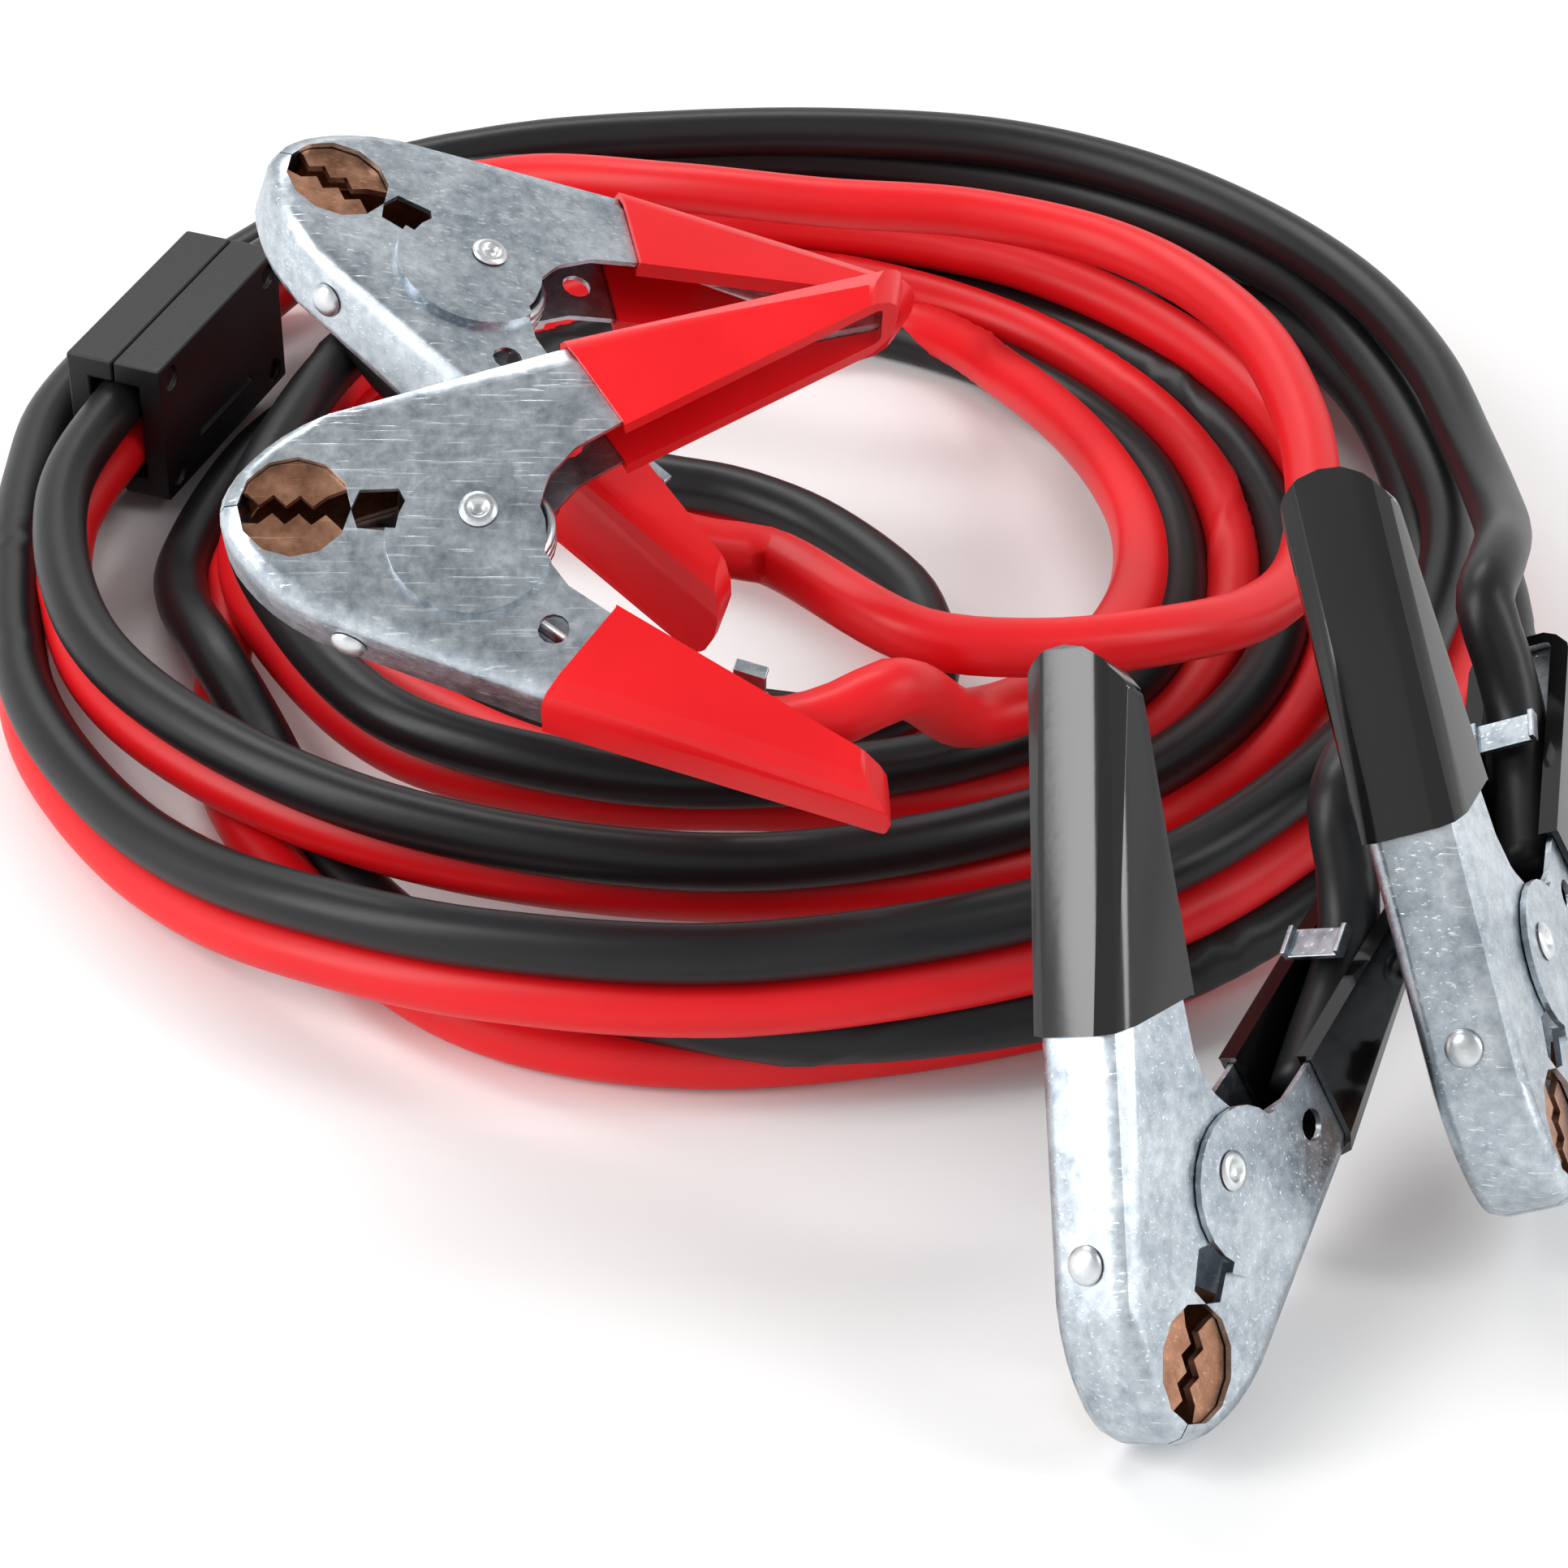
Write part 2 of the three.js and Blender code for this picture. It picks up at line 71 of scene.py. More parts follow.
def set_sockets(shader_node, **values):
    for name, value in values.items():
        shader_node.inputs[name.replace("_", " ")].default_value = value
    return shader_node


def add_node(tree, kind, **settings):
    new = tree.nodes.new(kind)
    for name, value in settings.items():
        setattr(new, name, value)
    return new


floor_paint = bpy.data.materials.new("floor_paint")
floor_paint.use_nodes = True
set_sockets(floor_paint.node_tree.nodes["Principled BSDF"], Base_Color=(0.9, 0.9, 0.9, 1), Roughness=0.9)
bpy.ops.mesh.primitive_plane_add(size=8, location=(0, 0, 0))
floor = bpy.context.object
floor.name = "floor"
floor.data.materials.append(floor_paint)

for name, place, aim, width, height, watts in (
    ("left_soft_box", (-1.4, -0.4, 1.0), (0, 0, 0.05), 0.5, 1.6, 20),
    ("right_soft_box", (1.5, -0.3, 1.0), (0, 0, 0.05), 0.35, 1.5, 12),
    ("back_soft_box", (-0.6, 1.6, 1.9), (0, 0, 0.05), 1.5, 0.5, 20),
):
    lamp_data = bpy.data.lights.new(name, "AREA")
    lamp_data.shape = "RECTANGLE"
    lamp_data.size = width
    lamp_data.size_y = height
    lamp_data.energy = watts
    lamp = bpy.data.objects.new(name, lamp_data)
    lamp.location = place
    lamp.rotation_euler = (Vector(aim) - Vector(place)).to_track_quat("-Z", "Y").to_euler()
    scene.collection.objects.link(lamp)

# The room is brighter near the floor than overhead, so that plating turned up stays grey
world = bpy.data.worlds.new("white_room")
world.use_nodes = True
room = world.node_tree
way = add_node(room, "ShaderNodeTexCoord")
rise = add_node(room, "ShaderNodeSeparateXYZ")
shade = add_node(room, "ShaderNodeMapRange")
set_sockets(shade, From_Min=0.0, From_Max=1.0, To_Min=1.1, To_Max=0.4)
room.links.new(way.outputs["Generated"], rise.inputs["Vector"])
room.links.new(rise.outputs["Z"], shade.inputs["Value"])
room.links.new(shade.outputs["Result"], room.nodes["Background"].inputs["Strength"])
set_sockets(room.nodes["Background"], Color=(1, 1, 1, 1))
scene.world = world


# Twin cable: a red and a black PVC-sheathed conductor moulded side by side and torn apart at
# both ends, wound in loose turns. Each conductor runs from one clamp's handle to another's.
cable_across = 0.013

# Where each clamp lies, in millimetres from the coil's centre: pivot, way of the handles, way of the free half
clamp_places = {
    "red_front": ((-53.9, -123.2, 106.6), (0.999, -0.017, -0.028), (0.029, 0.859, 0.511)),
    "red_rear": ((-60, -25.5, 108.1), (0.883, -0.306, -0.357), (0.359, 0.929, 0.092)),
    "black_front": ((89.1, -250, 40.2), (0.172, 0.796, 0.581), (-0.636, -0.36, 0.682)),
    "black_rear": ((155.6, -194, 49.9), (-0.093, 0.832, 0.547), (-0.479, -0.519, 0.708)),
}


def clamp_frame(name):
    pivot, along, across = clamp_places[name]
    x = Vector(along).normalized()
    y = Vector(across)
    y = (y - x * x.dot(y)).normalized()
    z = x.cross(y)
    turn = Matrix((x, y, z)).transposed().to_4x4()
    return Matrix.Translation(coil_centre + Vector(pivot) / 1000) @ turn


# Path of the conductor inside the cable half's handle, in the clamp's own frame and in millimetres
knee_along, knee_height = 14.1, 40.4
handle_end, handle_end_height = 86, 61
back_to_conductor = 9.3
handle_slope = (handle_end_height - knee_height) / (handle_end - knee_along)
handle_path = []
for along, drop in ((26, 0), (40, 0), (55, 0), (66, -3), (77, -10), (88, -19)):
    back_height = knee_height + (along - knee_along) * handle_slope
    height = back_height - back_to_conductor / math.cos(math.atan(handle_slope)) + drop
    handle_path.append(Vector((along, -height, 0)) / 1000)

# From there each lead's way down to the coil, in millimetres from the coil's centre
lead_routes = {
    "red_front": ((51, -123, 58), (70, -107, 54), (88, -70, 48), (94, -25, 40),
                  (87, 26, 30), (69, 78, 19), (43, 122, 9), (-2, 122, 7), (-36, 122, 7)),
    "red_rear": ((40, -118, 76), (66, -119, 74), (92, -109, 70), (114, -88, 61), (128, -60, 53),
                 (134, -30, 52), (134, 10, 52), (124, 52, 52), (98, 87, 52), (60, 106, 52), (20, 112, 52),
                 (-20, 122, 51), (-60, 140, 43), (-95, 151, 27)),
    "black_front": ((136, -139, 67), (147, -118, 52), (157, -97, 31), (163, -72, 19), (164.5, -40, 17),
                    (164.5, -9, 19.5), (165, 32, 19.5), (157, 74, 19.5), (141, 106, 19), (108, 132, 12),
                    (76, 150, 10), (30, 152, 10), (-15, 146, 9)),
    "black_rear": ((168, -86, 74), (174, -58, 63), (176, -28, 53), (175, 6, 46.5), (170, 44, 45),
                   (157, 80, 45), (135, 112, 45),
                   (106, 138, 45), (69, 156, 45), (25, 164, 44), (-20, 168, 41), (-65, 166, 38),
                   (-103, 157, 33)),
}

# The pair's own line: bearing in degrees, distance from the coil's axis, height, and the way from the
# red conductor to the black one (0 is outwards, 90 is up)
pair_line = (
    (125, 131, 8, 0), (150, 133, 8, 0), (175, 132, 8, 5), (186, 131, 10, 35), (200, 132, 13, 90),
    (213, 137, 10, 150), (224, 144, 7.5, 178), (240, 158, 7.5, 180), (251, 168, 8.5, 150), (262, 175, 11, 105),
    (275, 179, 12, 60), (300, 181, 11, 50), (330, 182, 11, 60), (345, 184, 11, 65), (360, 181, 12, 80),
    (380, 184, 13, 90), (397, 188, 13, 90), (415, 183, 13, 90), (435, 175, 13, 90), (450, 171, 13, 90),
    (475, 160, 14, 95), (497, 135, 18, 100), (515, 124, 22, 105),
    (540, 121, 22, 100), (560, 114, 21, 90), (585, 111, 21, 75), (610, 104, 21.5, 65), (630, 101, 21.5, 60),
    (660, 104, 18, 90), (690, 110, 12, 140), (720, 114, 9, 180), (750, 122, 9, 190), (780, 130, 9.5, 205),
    (810, 137, 10, 212), (840, 127, 9, 195), (865, 112, 8, 180), (890, 104, 8, 180), (910, 96, 8, 180),
    (930, 84, 7, 180), (960, 75, 8, 170), (985, 70, 13, 110), (1008, 73, 12, 85), (1025, 74, 13, 90),
    (1037, 61, 13, 90), (1053, 46, 13, 90), (1068, 34, 13, 90), (1113, 21, 13, 90), (1152, 21, 13, 90),
    (1179, 26, 13, 90), (1204, 37, 13, 88), (1219, 62, 14, 45), (1224, 96, 25, 5), (1221, 122, 36, -10),
    (1215, 142, 34, -30), (1204, 151, 27, -50),
    (1190, 155, 18, -70), (1170, 156.5, 13, -85),
    (1140, 152, 13, -110), (1110, 146, 12, -150), (1080, 140, 10, -180), (1050, 137, 14, -220),
    (1020, 137, 22, -265), (990, 138.4, 26, -290), (960, 144, 27, -285), (936, 154, 27, -275),
    (920, 162, 28, -270), (900, 164.5, 28.3, -270), (885.4, 161.6, 28.3, -270), (873.8, 161, 28.3, -270),
    (862.6, 167, 28.3, -265), (840, 177, 29.5, -225), (810, 177.6, 28.8, -210), (780, 181, 28.8, -210),
    (757, 183, 28.8, -212), (745, 177, 28, -220), (733, 173, 27, -232), (717, 173.5, 26.5, -237),
    (700, 172, 28, -238), (688, 173, 30, -245), (660, 179, 33.5, -258),
    (632, 184.5, 35.5, -261), (614, 184, 32.5, -263), (600, 181, 26, -265),
    (588, 178.5, 18.5, -268), (576, 177, 14.5, -270), (560, 177, 13.5, -270),
    (540, 177, 13, -270), (530, 181, 13, -270), (520, 187, 13, -270), (505, 190, 14, -270),
    (492, 190, 18, -265),
)


def smooth_through(points, step):
    """Points a step apart on a curve that passes through all the given ones."""
    dense = []
    count = len(points)
    for i in range(count - 1):
        p1, p2 = points[i], points[i + 1]
        p0 = points[i - 1] if i > 0 else p1 * 2 - p2
        p3 = points[i + 2] if i + 2 < count else p2 * 2 - p1
        t1 = max((p1 - p0).length, 1e-6) ** 0.5
        t2 = t1 + max((p2 - p1).length, 1e-6) ** 0.5
        t3 = t2 + max((p3 - p2).length, 1e-6) ** 0.5
        pieces = max(2, round((p2 - p1).length / step))
        for k in range(pieces):
            t = t1 + (t2 - t1) * k / pieces
            a1 = p0 * ((t1 - t) / t1) + p1 * (t / t1)
            a2 = p1 * ((t2 - t) / (t2 - t1)) + p2 * ((t - t1) / (t2 - t1))
            a3 = p2 * ((t3 - t) / (t3 - t2)) + p3 * ((t - t2) / (t3 - t2))
            b1 = a1 * ((t2 - t) / t2) + a2 * (t / t2)
            b2 = a2 * ((t3 - t) / (t3 - t1)) + a3 * ((t - t1) / (t3 - t1))
            dense.append(b1 * ((t2 - t) / (t2 - t1)) + b2 * ((t - t1) / (t2 - t1)))
    dense.append(points[-1].copy())
    return dense


def strand_points(side):
    """Places of one conductor of the pair: side -1 is red, 1 is black."""
    half_pair = 6.5
    lowest_centre = 6.6
    placed = []
    for bearing, radius, height, roll in pair_line:
        roll = math.radians(roll)
        r = radius + side * half_pair * math.cos(roll)
        z = max(height + side * half_pair * math.sin(roll), lowest_centre)
        angle = math.radians(bearing)
        placed.append(coil_centre + Vector((r * math.cos(angle), r * math.sin(angle), z)) / 1000)
    return placed


def lead_points(clamp):
    start = [clamp_frame(clamp) @ p for p in handle_path]
    return start + [coil_centre + Vector(p) / 1000 for p in lead_routes[clamp]]


def lay_conductor(side, first_clamp, last_clamp):
    """Whole way of a conductor, from inside one clamp's handle to inside the other's."""
    first = lead_points(first_clamp)
    last = list(reversed(lead_points(last_clamp)))
    return smooth_through(first + strand_points(side) + last, 0.005)


red_way = lay_conductor(-1, "red_front", "red_rear")
black_way = lay_conductor(1, "black_front", "black_rear")


def sheath_mesh(name, way, partner, sides=24):
    """A round sheath along a way, with the low ridge that the torn web leaves on the partner's side."""
    radius = cable_across / 2
    ridge = {0: 1.09, 1: 1.035, sides - 1: 1.035}
    bonded_within = 0.02
    verts, faces = [], []
    count = len(way)
    coarse = partner[::max(1, len(partner) // 400)]
    facing = None
    for i, point in enumerate(way):
        tangent = (way[min(i + 1, count - 1)] - way[max(i - 1, 0)]).normalized()
        if facing is None:
            facing = tangent.orthogonal().normalized()
        facing = (facing - tangent * tangent.dot(facing)).normalized()
        nearest = min(coarse, key=lambda p: (p - point).length_squared)
        toward = nearest - point
        toward = toward - tangent * tangent.dot(toward)
        if toward.length > 1e-5 and (nearest - point).length < bonded_within:
            toward.normalize()
            facing = (facing * 0.7 + toward * 0.3)
            facing = (facing - tangent * tangent.dot(facing)).normalized()
        other = tangent.cross(facing)
        for k in range(sides):
            angle = 2 * math.pi * k / sides
            reach = radius * ridge.get(k, 1)
            verts.append(point + facing * (math.cos(angle) * reach) + other * (math.sin(angle) * reach))
    for i in range(count - 1):
        for k in range(sides):
            a = i * sides + k
            b = i * sides + (k + 1) % sides
            faces.append((a, b, b + sides, a + sides))
    faces.append(tuple(reversed(range(sides))))
    faces.append(tuple(range((count - 1) * sides, count * sides)))
    mesh = bpy.data.meshes.new(name)
    mesh.from_pydata([tuple(v) for v in verts], [], faces)
    mesh.shade_smooth()
    made = bpy.data.objects.new(name, mesh)
    scene.collection.objects.link(made)
    return made


def surface_grain():
    """Slow unevenness and fine grain of a moulded surface: mask, roughness and height."""
    group = bpy.data.node_groups.new("surface_grain", "ShaderNodeTree")
    for label, usual in (("Patch Size", 20.0), ("Grain Size", 900.0), ("Roughness", 0.35),
                         ("Roughness Spread", 0.1)):
        socket = group.interface.new_socket(label, in_out="INPUT", socket_type="NodeSocketFloat")
        socket.default_value = usual
    for label in ("Patches", "Roughness", "Height"):
        group.interface.new_socket(label, in_out="OUTPUT", socket_type="NodeSocketFloat")
    start = add_node(group, "NodeGroupInput")
    end = add_node(group, "NodeGroupOutput")
    place = add_node(group, "ShaderNodeTexCoord")
    patches = add_node(group, "ShaderNodeTexNoise")
    patches.inputs["Detail"].default_value = 4
    grain = add_node(group, "ShaderNodeTexNoise")
    grain.inputs["Detail"].default_value = 3
    spread = add_node(group, "ShaderNodeMath", operation="MULTIPLY_ADD")
    centre = add_node(group, "ShaderNodeMath", operation="SUBTRACT")
    centre.inputs[1].default_value = 0.5
    link = group.links.new
    link(place.outputs["Object"], patches.inputs["Vector"])
    link(place.outputs["Object"], grain.inputs["Vector"])
    link(start.outputs["Patch Size"], patches.inputs["Scale"])
    link(start.outputs["Grain Size"], grain.inputs["Scale"])
    link(patches.outputs["Fac"], centre.inputs[0])
    link(centre.outputs[0], spread.inputs[0])
    link(start.outputs["Roughness Spread"], spread.inputs[1])
    link(start.outputs["Roughness"], spread.inputs[2])
    link(patches.outputs["Fac"], end.inputs["Patches"])
    link(spread.outputs[0], end.inputs["Roughness"])
    link(grain.outputs["Fac"], end.inputs["Height"])
    return group


grain_group = surface_grain()


def moulded_finish(name, dark, light, rough, spread, patch, grain, bump, shine=0.5):
    """A plastic finish: its colour drifts between two tones, with a fine grain in its gloss."""
    material = bpy.data.materials.new(name)
    material.use_nodes = True
    tree = material.node_tree
    shader = tree.nodes["Principled BSDF"]
    shader.inputs["Specular IOR Level"].default_value = shine
    group = add_node(tree, "ShaderNodeGroup", node_tree=grain_group)
    group.inputs["Patch Size"].default_value = patch
    group.inputs["Grain Size"].default_value = grain
    group.inputs["Roughness"].default_value = rough
    group.inputs["Roughness Spread"].default_value = spread
    tones = add_node(tree, "ShaderNodeValToRGB")
    tones.color_ramp.elements[0].position = 0.3
    tones.color_ramp.elements[0].color = (*dark, 1)
    tones.color_ramp.elements[1].position = 0.7
    tones.color_ramp.elements[1].color = (*light, 1)
    relief = add_node(tree, "ShaderNodeBump")
    relief.inputs["Strength"].default_value = bump
    relief.inputs["Distance"].default_value = 0.0002
    tree.links.new(group.outputs["Patches"], tones.inputs["Fac"])
    tree.links.new(tones.outputs["Color"], shader.inputs["Base Color"])
    tree.links.new(group.outputs["Roughness"], shader.inputs["Roughness"])
    tree.links.new(group.outputs["Height"], relief.inputs["Height"])
    tree.links.new(relief.outputs["Normal"], shader.inputs["Normal"])
    return material


red_sheath = moulded_finish("red_sheath", (0.66, 0.004, 0.008), (0.8, 0.008, 0.013), 0.42, 0.12, 14, 700,
                            0.12, 0.32)
black_sheath = moulded_finish("black_sheath", (0.006, 0.006, 0.007), (0.012, 0.0125, 0.014), 0.38, 0.16, 14, 700,
                              0.15, 0.3)

red_cable = sheath_mesh("red_conductor", red_way, black_way)
red_cable.data.materials.append(red_sheath)
black_cable = sheath_mesh("black_conductor", black_way, red_way)
black_cable.data.materials.append(black_sheath)


for cable, way, colour in ((red_cable, red_way, "red"), (black_cable, black_way, "black")):
    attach(cable, "cable_set")
    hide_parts(colour + "_front_lead", colour + "_rear_lead", *(("coil",) if colour == "black" else ()))


# Clamp halves, rivets and straps: pressed from zinc-plated sheet, joined on a tubular rivet.
# The plating is mottled with small crystals and finely scratched.
def plated_wear():
    """Crystals, rubbed patches and scratches of plating: tone, roughness and height."""
    group = bpy.data.node_groups.new("plated_wear", "ShaderNodeTree")
    for label, usual in (("Crystal Size", 260.0), ("Rub Size", 45.0), ("Scratches", 0.5)):
        socket = group.interface.new_socket(label, in_out="INPUT", socket_type="NodeSocketFloat")
        socket.default_value = usual
    for label in ("Tone", "Roughness", "Height"):
        group.interface.new_socket(label, in_out="OUTPUT", socket_type="NodeSocketFloat")
    start = add_node(group, "NodeGroupInput")
    end = add_node(group, "NodeGroupOutput")
    place = add_node(group, "ShaderNodeTexCoord")
    crystals = add_node(group, "ShaderNodeTexNoise")
    crystals.inputs["Detail"].default_value = 6
    crystals.inputs["Roughness"].default_value = 0.7
    rubs = add_node(group, "ShaderNodeTexNoise")
    rubs.inputs["Detail"].default_value = 5
    stretch = add_node(group, "ShaderNodeMapping")
    stretch.inputs["Rotation"].default_value = (0.4, 0.9, 0.6)
    stretch.inputs["Scale"].default_value = (60, 1400, 1400)
    lines = add_node(group, "ShaderNodeTexNoise")
    lines.inputs["Scale"].default_value = 1
    lines.inputs["Detail"].default_value = 2
    cut = add_node(group, "ShaderNodeMapRange")
    cut.inputs["From Min"].default_value = 0.62
    cut.inputs["From Max"].default_value = 0.72
    cut_strength = add_node(group, "ShaderNodeMath", operation="MULTIPLY")
    tone = add_node(group, "ShaderNodeMath", operation="MULTIPLY_ADD")
    tone.inputs[1].default_value = 0.55
    rub_part = add_node(group, "ShaderNodeMath", operation="MULTIPLY")
    rub_part.inputs[1].default_value = 0.45
    brighter = add_node(group, "ShaderNodeMath", operation="MULTIPLY_ADD")
    brighter.inputs[1].default_value = 0.35
    rough = add_node(group, "ShaderNodeMapRange")
    rough.inputs["From Min"].default_value = 0.25
    rough.inputs["From Max"].default_value = 0.75
    rough.inputs["To Min"].default_value = 0.22
    rough.inputs["To Max"].default_value = 0.46
    link = group.links.new
    for noise in (crystals, rubs, stretch):
        link(place.outputs["Object"], noise.inputs["Vector"])
    link(stretch.outputs["Vector"], lines.inputs["Vector"])
    link(start.outputs["Crystal Size"], crystals.inputs["Scale"])
    link(start.outputs["Rub Size"], rubs.inputs["Scale"])
    link(lines.outputs["Fac"], cut.inputs["Value"])
    link(cut.outputs["Result"], cut_strength.inputs[0])
    link(start.outputs["Scratches"], cut_strength.inputs[1])
    link(rubs.outputs["Fac"], rub_part.inputs[0])
    link(crystals.outputs["Fac"], tone.inputs[0])
    link(rub_part.outputs[0], tone.inputs[2])
    link(cut_strength.outputs[0], brighter.inputs[0])
    link(tone.outputs[0], brighter.inputs[2])
    link(brighter.outputs[0], end.inputs["Tone"])
    link(tone.outputs[0], rough.inputs["Value"])
    link(rough.outputs["Result"], end.inputs["Roughness"])
    link(cut_strength.outputs[0], end.inputs["Height"])
    return group


wear_group = plated_wear()


def plated_finish(name, dark, light, crystal, rub, scratch, bump):
    """A plated metal: mottled between two tones, with fine scratches cut into it."""
    material = bpy.data.materials.new(name)
    material.use_nodes = True
    tree = material.node_tree
    shader = tree.nodes["Principled BSDF"]
    shader.inputs["Metallic"].default_value = 1
    group = add_node(tree, "ShaderNodeGroup", node_tree=wear_group)
    group.inputs["Crystal Size"].default_value = crystal
    group.inputs["Rub Size"].default_value = rub
    group.inputs["Scratches"].default_value = scratch
    tones = add_node(tree, "ShaderNodeValToRGB")
    tones.color_ramp.elements[0].position = 0.35
    tones.color_ramp.elements[0].color = (*dark, 1)
    tones.color_ramp.elements[1].position = 0.68
    tones.color_ramp.elements[1].color = (*light, 1)
    relief = add_node(tree, "ShaderNodeBump")
    relief.inputs["Strength"].default_value = bump
    relief.inputs["Distance"].default_value = 0.0001
    tree.links.new(group.outputs["Tone"], tones.inputs["Fac"])
    tree.links.new(tones.outputs["Color"], shader.inputs["Base Color"])
    tree.links.new(group.outputs["Roughness"], shader.inputs["Roughness"])
    tree.links.new(group.outputs["Height"], relief.inputs["Height"])
    tree.links.new(relief.outputs["Normal"], shader.inputs["Normal"])
    return material


zinc = plated_finish("zinc_plate", (0.3, 0.35, 0.4), (0.7, 0.75, 0.79), 320, 55, 0.9, 0.45)
rivet_bright = plated_finish("rivet_plate", (0.55, 0.58, 0.6), (0.8, 0.82, 0.83), 300, 60, 0.3, 0.15)


def eased_copy(node, piece, body, material, edge, sharp=50):
    """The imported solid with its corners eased, as a pressed, dipped or moulded piece has them."""
    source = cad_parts[node]
    mesh = source.data.copy()
    made = bpy.data.objects.new(piece, mesh)
    scene.collection.objects.link(made)
    work = bmesh.new()
    work.from_mesh(mesh)
    bmesh.ops.remove_doubles(work, verts=work.verts, dist=2e-6)
    bmesh.ops.dissolve_limit(work, angle_limit=math.radians(1.5), verts=work.verts, edges=work.edges)
    work.to_mesh(mesh)
    work.free()
    mesh.materials.clear()
    mesh.materials.append(material)
    mesh.shade_smooth()
    ease = made.modifiers.new("eased_corners", "BEVEL")
    ease.width = edge
    ease.segments = 2
    ease.limit_method = "ANGLE"
    ease.angle_limit = math.radians(sharp)
    ease.use_clamp_overlap = True
    faces = made.modifiers.new("flat_faces", "WEIGHTED_NORMAL")
    faces.keep_sharp = True
    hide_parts(node)
    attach(made, body)
    return made


for clamp in clamp_places:
    for half, body in (("free", clamp + "_lever"), ("cable", "cable_set")):
        eased_copy(f"{clamp}_{half}_half", f"{clamp}_{half}_steel", body, zinc, 0.00045)
    eased_copy(clamp + "_cable_clip", clamp + "_strap", "cable_set", zinc, 0.00025)


def turned_piece(name, profile, body, material, place, sides=32):
    """A piece of revolution about its own Z, from (radius, height) in millimetres."""
    work = bmesh.new()
    rings = []
    for radius, height in profile:
        if radius < 1e-6:
            rings.append([work.verts.new((0, 0, height / 1000))])
            continue
        rings.append([work.verts.new((radius / 1000 * math.cos(2 * math.pi * k / sides),
                                      radius / 1000 * math.sin(2 * math.pi * k / sides), height / 1000))
                      for k in range(sides)])
    for low, high in zip(rings, rings[1:]):
        for k in range(sides):
            j = (k + 1) % sides
            if len(low) == 1 and len(high) > 1:
                work.faces.new((low[0], high[k], high[j]))
            elif len(high) == 1 and len(low) > 1:
                work.faces.new((low[k], high[0], low[j]))
            elif len(low) > 1:
                work.faces.new((low[k], high[k], high[j], low[j]))
    bmesh.ops.recalc_face_normals(work, faces=work.faces)
    work.transform(place)
    mesh = bpy.data.meshes.new(name)
    work.to_mesh(mesh)
    work.free()
    mesh.materials.append(material)
    mesh.shade_smooth()
    mesh.set_sharp_from_angle(angle=math.radians(45))
    made = bpy.data.objects.new(name, mesh)
    scene.collection.objects.link(made)
    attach(made, body)
    return made


# Rivets: the pivot rivet is a plated steel tube rolled over at both ends, with a dished middle.
# The jaw rivet holds the copper: a dome outside the back, and a shank through both sheets.
rivet_head = ((0, 11.45), (1.1, 11.5), (1.5, 11.75), (1.9, 12.45), (2.5, 12.7), (3.2, 12.65), (3.8, 12.3),
              (4.1, 11.9))
rivet_profile = ([(r, -h) for r, h in rivet_head] + [(3, -11.9), (3, 11.9)]
                 + [(r, h) for r, h in reversed(rivet_head)])
dome = [(4.0 * math.cos(math.radians(a)), 0.3 + 2.0 * math.sin(math.radians(a))) for a in range(0, 91, 10)]
jaw_rivet_profile = [(0, -4.9), (2.0, -4.9), (2.0, 0.3)] + dome[:-1] + [(0, 2.3)]
nose_along, nose_height = -33.5, 23.6
jaw_rivet_along = -26
jaw_back_slope = math.atan((knee_height - nose_height) / (knee_along - nose_along))
jaw_back_height = nose_height + (jaw_rivet_along - nose_along) * math.tan(jaw_back_slope)
for clamp in clamp_places:
    at = clamp_frame(clamp)
    rivet = turned_piece(clamp + "_rivet", rivet_profile, "cable_set", rivet_bright, at)
    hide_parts(clamp + "_pivot_rivet")
    for half, body, flip in (("free", clamp + "_lever", 1), ("cable", "cable_set", -1)):
        upright = (Matrix.Rotation(0 if flip > 0 else math.pi, 4, "X")
                   @ Matrix.Translation((jaw_rivet_along / 1000, jaw_back_height / 1000, 0))
                   @ Matrix.Rotation(jaw_back_slope, 4, "Z") @ Matrix.Rotation(-math.pi / 2, 4, "X"))
        stud = turned_piece(f"{clamp}_{half}_stud", jaw_rivet_profile, body, rivet_bright, at @ upright)
        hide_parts(f"{clamp}_{half}_jaw_rivet")


# Torsion spring of each clamp: plated wire wound nearly four turns round the pivot, hung a little
# off centre on it, with a straight leg pushing on the inside of each handle.
spring_wire = 0.0028
spring_offset = 4.6
spring_steel = plated_finish("spring_plate", (0.4, 0.42, 0.45), (0.66, 0.68, 0.7), 400, 60, 0.2, 0.1)


def spring_way():
    """Middle of the wire, from the end of one leg to the end of the other."""
    leg_angle = 0.62
    ring = 10.0
    half_width = 5.0
    first = math.pi / 2 + leg_angle
    last = 2 * math.pi * 4 - first
    foot = Vector((spring_offset - math.sin(leg_angle) * ring, math.cos(leg_angle) * ring, half_width))
    leg = Vector((math.cos(leg_angle), math.sin(leg_angle), 0))
    points = [foot + leg * reach for reach in (24, 16, 8, 2)]
    steps = 100
    for i in range(steps + 1):
        angle = first + (last - first) * i / steps
        points.append(Vector((spring_offset + math.cos(angle) * ring, math.sin(angle) * ring,
                              half_width - 2 * half_width * i / steps)))
    for reach in (2, 8, 16, 24):
        upper = foot + leg * reach
        points.append(Vector((upper.x, -upper.y, -upper.z)))
    return [p / 1000 for p in points]


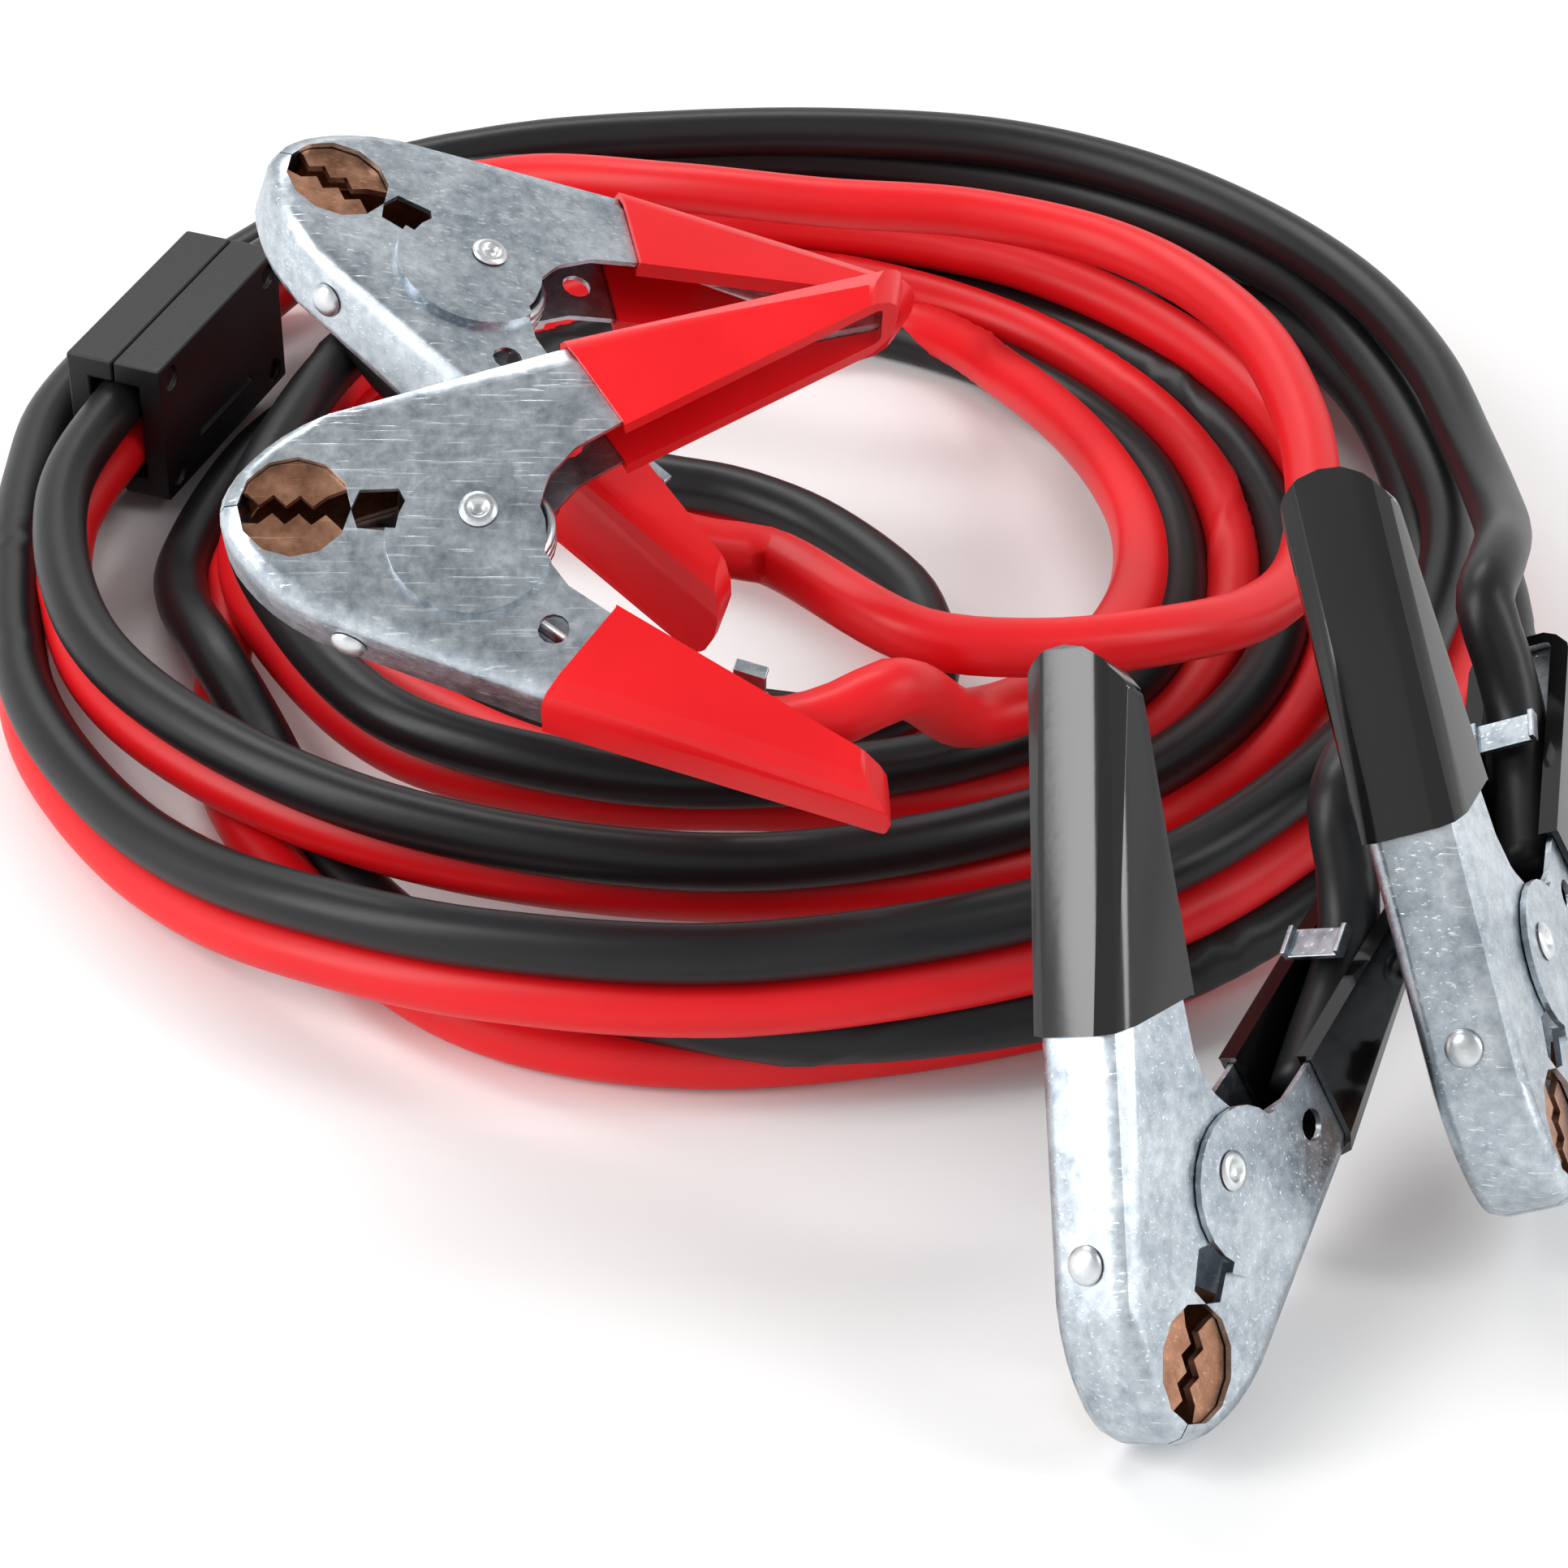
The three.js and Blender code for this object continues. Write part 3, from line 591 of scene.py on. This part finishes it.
def wire_piece(name, way, across, material, sides=12):
    """A round wire along a way, with flat ends."""
    verts, faces = [], []
    facing = None
    for i, point in enumerate(way):
        tangent = (way[min(i + 1, len(way) - 1)] - way[max(i - 1, 0)]).normalized()
        if facing is None:
            facing = tangent.orthogonal().normalized()
        facing = (facing - tangent * tangent.dot(facing)).normalized()
        other = tangent.cross(facing)
        for k in range(sides):
            angle = 2 * math.pi * k / sides
            verts.append(point + (facing * math.cos(angle) + other * math.sin(angle)) * across / 2)
    for i in range(len(way) - 1):
        for k in range(sides):
            a = i * sides + k
            b = i * sides + (k + 1) % sides
            faces.append((a, b, b + sides, a + sides))
    faces.append(tuple(reversed(range(sides))))
    faces.append(tuple(range((len(way) - 1) * sides, len(way) * sides)))
    mesh = bpy.data.meshes.new(name)
    mesh.from_pydata([tuple(v) for v in verts], [], faces)
    mesh.materials.append(material)
    mesh.shade_smooth()
    made = bpy.data.objects.new(name, mesh)
    scene.collection.objects.link(made)
    return made


for clamp in clamp_places:
    at = clamp_frame(clamp)
    coil_spring = wire_piece(clamp + "_torsion_spring", [at @ p for p in spring_way()], spring_wire, spring_steel)
    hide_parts(clamp + "_spring")
    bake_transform(coil_spring)


# Jaw liners: copper strip folded to fit inside each jaw, riveted to its back, with teeth cut
# along both edges. It is rubbed bright in places and stained brown in others.
copper = plated_finish("jaw_copper", (0.2, 0.085, 0.045), (0.62, 0.33, 0.21), 180, 60, 0.5, 0.25)
for clamp in clamp_places:
    for half, body in (("free", clamp + "_lever"), ("cable", "cable_set")):
        eased_copy(f"{clamp}_{half}_jaw", f"{clamp}_{half}_copper", body, copper, 0.0002)


# Grips: each handle is dipped in soft vinyl, which follows the steel and rounds its tip.
# The red vinyl is satin and the black is glossy.
red_vinyl = moulded_finish("red_vinyl", (0.68, 0.004, 0.008), (0.8, 0.008, 0.012), 0.34, 0.1, 25, 500, 0.1, 0.35)
black_vinyl = moulded_finish("black_vinyl", (0.003, 0.003, 0.0035), (0.006, 0.006, 0.0065), 0.13, 0.08, 25, 400, 0.05)
for clamp in clamp_places:
    vinyl = red_vinyl if clamp.startswith("red") else black_vinyl
    for half, body in (("free", clamp + "_lever"), ("cable", "cable_set")):
        eased_copy(f"{clamp}_{half}_grip", f"{clamp}_{half}_sleeve", body, vinyl, 0.0009, 40)


# In-line block: two moulded halves of satin black plastic clasped round the pair.
# The cover has four screw recesses at its corners and a short line across its face.
block_plastic = moulded_finish("block_plastic", (0.004, 0.004, 0.0045), (0.009, 0.009, 0.01), 0.42, 0.14, 30, 1200,
                               0.35, 0.35)
for node in ("block_cover", "block_base"):
    eased_copy(node, node + "_moulding", "cable_set", block_plastic, 0.0007)
